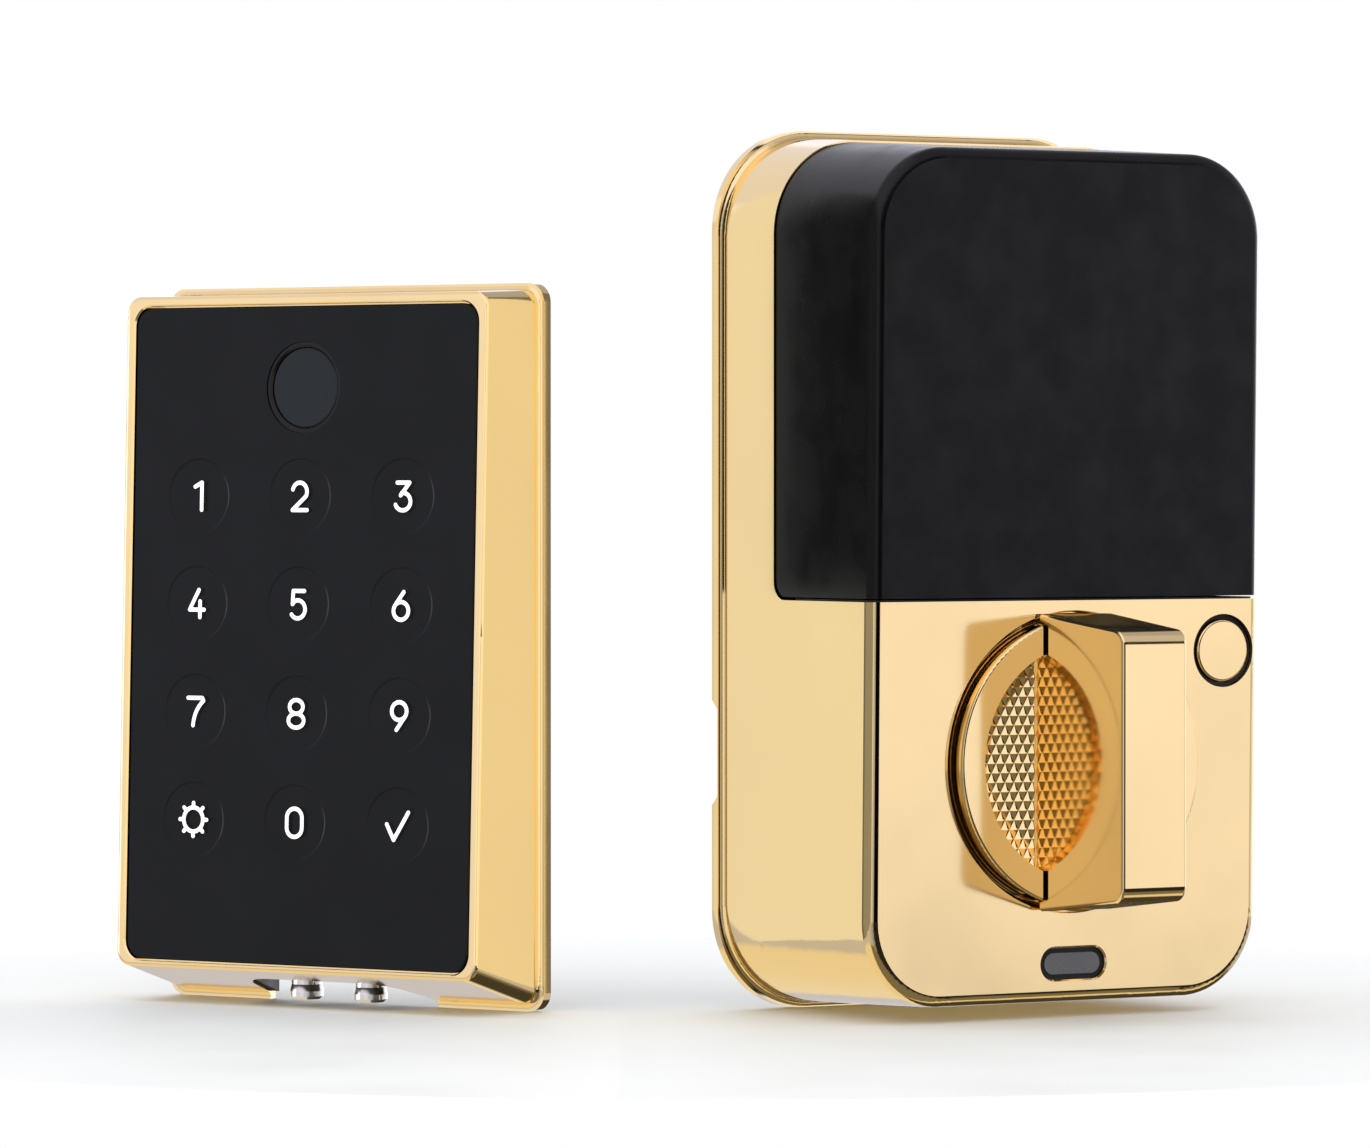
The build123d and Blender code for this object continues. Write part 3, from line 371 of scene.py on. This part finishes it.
def add(tree, kind, settings=None, **inputs):
    """A node of a kind. An input is a value or another node's output socket; names use _ for a space."""
    node = tree.nodes.new(kind)
    for key, value in (settings or {}).items():
        setattr(node, key, value)
    for key, value in inputs.items():
        socket = node.inputs[int(key[1:])] if key[1:].isdigit() else node.inputs[key.replace("_", " ")]
        if isinstance(value, bpy.types.NodeSocket):
            tree.links.new(value, socket)
        else:
            socket.default_value = value
    return node


def noise(tree, where, size, detail=2.0):
    """A cloud of 0 to 1 whose blobs are about size metres across."""
    return add(tree, "ShaderNodeTexNoise", Vector=where, Scale=1 / size, Detail=detail).outputs["Fac"]


def spread(tree, value, low, high):
    """Takes the middle of a noise, 0.3 to 0.7, to the range low to high."""
    node = add(tree, "ShaderNodeMapRange", None, Value=value, From_Min=0.3, From_Max=0.7,
               To_Min=low, To_Max=high)
    return node.outputs["Result"]


def shade(colour, factor):
    """A lighter or darker colour of the same hue."""
    return tuple(min(1.0, c * factor) for c in colour[:3]) + (1,)


def surface(name, colour, rough, metal=0.0, tint=0.05, tint_size=12, grain=0.0, grain_size=0.4,
            rough_play=0.2, wave=0.0, wave_size=8, **sockets):
    """A finish whose colour and gloss drift over the surface, with a fine grain and a slow waviness.

    Sizes are in millimetres: grain and wave are how deep the surface moves, the others how wide."""
    material = bpy.data.materials.new(name)
    material.use_nodes = True
    tree = material.node_tree
    tree.nodes.clear()
    where = add(tree, "ShaderNodeTexCoord").outputs["Object"]
    cloud = noise(tree, where, tint_size * MM, 3)
    blend = add(tree, "ShaderNodeMix", {"data_type": "RGBA"}, _0=spread(tree, cloud, 0, 1),
                _6=shade(colour, 1 - tint), _7=shade(colour, 1 + tint))
    smear = noise(tree, where, tint_size * 0.6 * MM, 4)
    roughness = spread(tree, smear, rough * (1 - rough_play), rough * (1 + rough_play))
    shader = add(tree, "ShaderNodeBsdfPrincipled", None, Base_Color=blend.outputs[2], Roughness=roughness,
                 Metallic=metal, **sockets)
    bumps = []
    for depth, size, detail in ((wave, wave_size, 1.0), (grain, grain_size, 3.0)):
        if depth:
            relief = noise(tree, where, size * MM, detail)
            bump = add(tree, "ShaderNodeBump", None, Height=relief, Distance=depth * MM)
            if bumps:
                tree.links.new(bumps[-1], bump.inputs["Normal"])
            bumps.append(bump.outputs["Normal"])
    if bumps:
        tree.links.new(bumps[-1], shader.inputs["Normal"])
    add(tree, "ShaderNodeOutputMaterial", None, Surface=shader.outputs["BSDF"])
    return material


GOLD = (0.95, 0.71, 0.345, 1)
BLACK_PAINT = (0.002, 0.002, 0.0021, 1)
DARK_GLASS = (0.006, 0.0065, 0.007, 1)
SENSOR_GLASS = (0.012, 0.015, 0.018, 1)
SMOKED = (0.125, 0.125, 0.135, 1)
BLACK_PLASTIC = (0.008, 0.008, 0.0085, 1)
BOARD_GREEN = (0.012, 0.10, 0.045, 1)
PALE = (0.91, 0.92, 0.87, 1)

# one finish for each of the record's material slots, by the slot's name
FINISHES = {
    "polished_brass": dict(colour=GOLD, rough=0.10, metal=1, tint=0.015, tint_size=30, rough_play=0.25,
                           wave=0.006, wave_size=14, Coat_Weight=0.6, Coat_Roughness=0.05),
    "satin_black": dict(colour=BLACK_PAINT, rough=0.27, grain=0.006, grain_size=0.25, tint=0.12,
                        Specular_IOR_Level=0.26),
    "black_glass": dict(colour=DARK_GLASS, rough=0.20, grain=0.001, grain_size=0.6, tint=0.1,
                        Specular_IOR_Level=0.14),
    "sensor_glass": dict(colour=SENSOR_GLASS, rough=0.26, grain=0.002, grain_size=0.3, tint=0.1,
                         Specular_IOR_Level=0.18),
    "smoked_lens": dict(colour=SMOKED, rough=0.25, grain=0.002, grain_size=0.4, tint=0.08,
                        Specular_IOR_Level=0.4),
    "plated_steel": dict(colour=(0.60, 0.60, 0.58, 1), rough=0.30, metal=1, grain=0.004, grain_size=0.5),
    "spring_steel": dict(colour=(0.52, 0.53, 0.55, 1), rough=0.24, metal=1, grain=0.002, grain_size=0.3),
    "nickel": dict(colour=(0.72, 0.70, 0.66, 1), rough=0.16, metal=1, grain=0.002, grain_size=0.5),
    "black_plastic": dict(colour=BLACK_PLASTIC, rough=0.5, grain=0.012, grain_size=0.35, tint=0.15),
    "white_plastic": dict(colour=(0.78, 0.77, 0.72, 1), rough=0.42, grain=0.006, grain_size=0.5),
    "grey_plastic": dict(colour=(0.21, 0.22, 0.23, 1), rough=0.46, grain=0.012, grain_size=0.4, tint=0.1),
    "gear_plastic": dict(colour=(0.72, 0.69, 0.60, 1), rough=0.38, grain=0.004, grain_size=0.6),
    "pinion_brass": dict(colour=(0.80, 0.61, 0.30, 1), rough=0.26, metal=1, grain=0.003, grain_size=0.3),
    "circuit_board": dict(colour=BOARD_GREEN, rough=0.35, grain=0.006, grain_size=0.5, tint=0.2,
                          tint_size=2.5),
    # this plastic also glows a little: painted light that makes the legends read brighter
    "light_plastic": dict(colour=(0.93, 0.93, 0.92, 1), rough=0.40, grain=0.002, grain_size=0.4, tint=0.02,
                          Emission_Color=(1, 1, 1, 1), Emission_Strength=0.45),
    "soft_rubber": dict(colour=(0.02, 0.02, 0.02, 1), rough=0.72, grain=0.015, grain_size=0.5, tint=0.15),
    "battery_sleeve": dict(colour=(0.05, 0.12, 0.30, 1), rough=0.30, grain=0.003, grain_size=0.8, tint=0.2,
                           tint_size=6),
}


# ------------------------------------------------------------------ studio

FLOOR_RADIUS = 170 * MM
FLOOR_SIDES = 96
FLOOR_DROP = 0.02 * MM

# brightness of the surroundings near the horizon, by compass angle in degrees. 0 is straight in front of
# the inside unit and the angle grows towards its left
HORIZON = [
    (-180, 0.98), (-155, 1.08), (-148, 1.6), (-92, 1.6), (-84, 1.08), (-66, 1.08), (-60, 0.65),
    (-46, 0.65), (-42, 1.08), (-31, 1.08), (-28, 0.0), (12, 0.0), (15, 0.5), (24, 0.5), (30, 0.78),
    (47, 0.78), (56, 1.05), (70, 1.05), (84, 0.92), (108, 0.92), (118, 2.4), (140, 2.4), (150, 0.3),
    (165, 0.3), (180, 0.98),
]
# the same for the strips just above and below that band, for the ceiling and for what lies below
UPPER = [(-180, 1.0), (-45, 1.0), (-40, 0.02), (12, 0.02), (20, 0.6), (60, 1.0), (180, 1.0)]
LOWER = [(-180, 0.6), (-70, 0.6), (-60, 0.02), (12, 0.02), (20, 0.3), (60, 0.6), (180, 0.6)]
CEILING = [(-180, 0.85), (-158, 0.85), (-148, 1.35), (-138, 0.45), (-75, 0.45), (-65, 0.6), (-25, 0.6),
           (0, 1.1), (90, 1.1), (105, 0.85), (180, 0.85)]
BELOW = [(-180, 0.88), (-148, 0.88), (-138, 0.06), (-75, 0.06), (-65, 0.88), (-55, 0.88), (-50, 0.2),
         (60, 0.2), (68, 0.88), (180, 0.88)]
# heights in degrees over which one strip goes into the next, from the lowest up
STRIP_EDGES = ((-27, -24), (-7, -6.3), (6.5, 7.5), (19, 23))
BAND_HEIGHTS = (-6, 2)  # the band at the horizon grows a little brighter between these
BAND_GAINS = (0.9, 1.06)
COOL = (1, 1, 1.12)  # the surroundings are a little bluer than white
WARM = (1, 0.9, 0.66)  # and what lies below them is warmer
SOFT = (1.16, 1.17, 1.24, 1)  # the even light that falls on matt surfaces


def make_world():
    """Surroundings for the polished metal to mirror, in strips with bright and dark panels.

    Matt surfaces get an even light instead, and the camera sees plain white."""
    world = bpy.data.worlds.new("studio")
    bpy.context.scene.world = world
    world.use_nodes = True
    tree = world.node_tree
    tree.nodes.clear()
    way = add(tree, "ShaderNodeTexCoord").outputs["Generated"]
    parts = add(tree, "ShaderNodeSeparateXYZ", None, Vector=way).outputs
    left = add(tree, "ShaderNodeMath", {"operation": "MULTIPLY"}, _0=parts["X"], _1=-1.0).outputs[0]
    front = add(tree, "ShaderNodeMath", {"operation": "MULTIPLY"}, _0=parts["Y"], _1=-1.0).outputs[0]
    angle = add(tree, "ShaderNodeMath", {"operation": "ARCTAN2"}, _0=left, _1=front).outputs[0]
    turn = add(tree, "ShaderNodeMapRange", None, Value=angle, From_Min=-pi, From_Max=pi)

    def by_angle(levels, tint=COOL):
        """A colour that follows a list of compass angles and levels."""
        ramp = add(tree, "ShaderNodeValToRGB", None, Fac=turn.outputs["Result"])
        elements = ramp.color_ramp.elements
        while len(elements) < len(levels):
            elements.new(0.5)
        for element, (degrees, level) in zip(elements, levels):
            element.position = (degrees + 180) / 360
            element.color = (*[level * part for part in tint], 1)
        return ramp.outputs["Color"]

    def towards(low, high, near, far):
        """Goes from one colour to another between two heights, in degrees above the horizon."""
        rise = add(tree, "ShaderNodeMapRange", {"interpolation_type": "SMOOTHSTEP"}, Value=parts["Z"],
                   From_Min=sin(radians(low)), From_Max=sin(radians(high))).outputs["Result"]
        return add(tree, "ShaderNodeMix", {"data_type": "RGBA"}, _0=rise, _6=near, _7=far).outputs[2]

    low, high = [sin(radians(height)) for height in BAND_HEIGHTS]
    fade = add(tree, "ShaderNodeMapRange", None, Value=parts["Z"], From_Min=low, From_Max=high,
               To_Min=BAND_GAINS[0], To_Max=BAND_GAINS[1]).outputs["Result"]
    band = add(tree, "ShaderNodeVectorMath", {"operation": "SCALE"}, _0=by_angle(HORIZON), Scale=fade)
    floor_edge, band_foot, band_top, ceiling_edge = STRIP_EDGES
    sky = towards(*band_top, band.outputs[0], by_angle(UPPER))
    sky = towards(*ceiling_edge, sky, by_angle(CEILING))
    sky = towards(*band_foot, by_angle(LOWER), sky)
    sky = towards(*floor_edge, by_angle(BELOW, WARM), sky)
    ray = add(tree, "ShaderNodeLightPath").outputs
    for kind, plain in (("Is Diffuse Ray", SOFT), ("Is Camera Ray", (1, 1, 1, 1))):
        sky = add(tree, "ShaderNodeMix", {"data_type": "RGBA"}, _0=ray[kind], _6=sky, _7=plain).outputs[2]
    background = add(tree, "ShaderNodeBackground", None, Color=sky, Strength=1.0)
    add(tree, "ShaderNodeOutputWorld", None, Surface=background.outputs[0])


# A screen stands on the floor between both units, in line with the camera, so that neither unit mirrors
# the other. It shows only in reflections. Each panel is (start, end, low, high, towards the inside unit,
# towards the keypad unit): lengths in millimetres along the screen and up, and how bright its faces are.
SCREEN_FOOT = (-38.1 * MM, 24.0 * MM)  # its far end, from under the inside unit's back
SCREEN_TINTS = [(1, 1, 0.95, 1), (1, 0.93, 0.76, 1)]
SCREEN_HALF_GAP = 0.1 * MM  # between a face and the screen's middle
SCREEN_PANELS = [
    (14.5, 19.5, 0.8, 150, 0.90, 0.2),
    (19.5, 24, 0.8, 150, 0.90, 0.9),
    (24, 42, 0.8, 66, 0.90, 0.9),
    (24, 42, 66, 150, 0.02, 0.9),
    (42, 56, 0.8, 150, 0.16, 1.1),
    (56, 300, 0.8, 150, 0.30, 1.2),
]


def make_screen():
    """Two glowing sheets for each panel, one towards each unit."""
    along = Vector((-sin(CAMERA_TURN), -cos(CAMERA_TURN), 0))
    out = Vector((cos(CAMERA_TURN), -sin(CAMERA_TURN), 0))  # towards the inside unit
    foot = inside_origin + Vector((*SCREEN_FOOT, 0))
    for index, (start, end, low, high, *levels) in enumerate(SCREEN_PANELS):
        for side, level, tint in zip((1, -1), levels, SCREEN_TINTS):
            name = f"screen_{index}_{'right' if side > 0 else 'left'}"
            ends = [(start, low), (end, low), (end, high), (start, high)]
            face = foot + out * side * SCREEN_HALF_GAP
            corners = [face + along * way * MM + Vector((0, 0, height * MM)) for way, height in ends]
            mesh = bpy.data.meshes.new(name)
            mesh.from_pydata(corners, [], [[0, 1, 2, 3]])
            glow = bpy.data.materials.new(name)
            glow.use_nodes = True
            glow.node_tree.nodes.clear()
            light = add(glow.node_tree, "ShaderNodeEmission", None, Color=tint, Strength=level)
            add(glow.node_tree, "ShaderNodeOutputMaterial", None, Surface=light.outputs[0])
            mesh.materials.append(glow)
            panel = bpy.data.objects.new(name, mesh)
            bpy.context.collection.objects.link(panel)
            for ray in ("camera", "diffuse", "transmission", "volume_scatter", "shadow"):
                setattr(panel, "visible_" + ray, False)


def make_floor():
    """A plain pale disc under both units."""
    angles = [2 * pi * side / FLOOR_SIDES for side in range(FLOOR_SIDES)]
    rim = [(FLOOR_RADIUS * cos(angle), FLOOR_RADIUS * sin(angle), -FLOOR_DROP) for angle in angles]
    mesh = bpy.data.meshes.new("floor")
    mesh.from_pydata(rim, [], [list(range(FLOOR_SIDES))])
    floor = bpy.data.objects.new("floor", mesh)
    bpy.context.collection.objects.link(floor)
    mesh.materials.append(surface("pale_floor", PALE, 0.6, tint=0.004, tint_size=60, Specular_IOR_Level=0.1))
    floor.visible_glossy = False  # the polished metal mirrors the studio below instead


CAMERA_TURN = radians(32.2)  # to the left of straight in front of the inside unit
CAMERA_PITCH = 0.013
CAMERA_DISTANCE = 1152.4 * MM
CAMERA_LEFT = 36.5 * MM
CAMERA_HEIGHT = 83.8 * MM
CAMERA_LENS = 188.1  # focal length in millimetres, on a sensor 36 mm wide


def make_camera():
    """A long lens a little above the middle of the lock, in front and to the left of the inside unit."""
    data = bpy.data.cameras.new("camera")
    data.lens = CAMERA_LENS
    data.sensor_width = 36.0
    data.clip_start = 0.05
    camera = bpy.data.objects.new("camera", data)
    bpy.context.collection.objects.link(camera)
    forward = Vector((sin(CAMERA_TURN), cos(CAMERA_TURN), 0))
    right = Vector((cos(CAMERA_TURN), -sin(CAMERA_TURN), 0))
    spot = inside_origin - CAMERA_LEFT * right - CAMERA_DISTANCE * forward
    camera.location = (spot.x, spot.y, CAMERA_HEIGHT)
    camera.rotation_euler = (pi / 2 - CAMERA_PITCH, 0, -CAMERA_TURN)
    bpy.context.scene.camera = camera


# ------------------------------------------------------------------ everything together

finishes = {name: surface(name, **settings) for name, settings in FINISHES.items()}
slot_of = {part["node"]: part["material_slot"] for part in frame["record"]["subparts"]}
for node, shown in frame["nodes"].items():
    shown.data.materials.clear()
    shown.data.materials.append(finishes[slot_of[node]])

# the legends take the light plastic finish, with its painted glow
for glyphs, row in zip(KEYS, KEY_ROWS):
    for glyph, column in zip(glyphs, KEY_COLUMNS):
        make_legend(glyph, column, row).data.materials.append(finishes["light_plastic"])

for name, side in (("knurl_left", -1), ("knurl_right", 1)):
    make_knurl(name, side).data.materials.append(finishes["polished_brass"])

# painted shade: black bands deep in the gaps, so that the gaps look dark
for gap_shade in make_gap_shades():
    gap_shade.data.materials.append(finishes["black_plastic"])

make_world()
make_screen()
make_floor()
make_camera()
bpy.context.scene.view_settings.view_transform = "Standard"
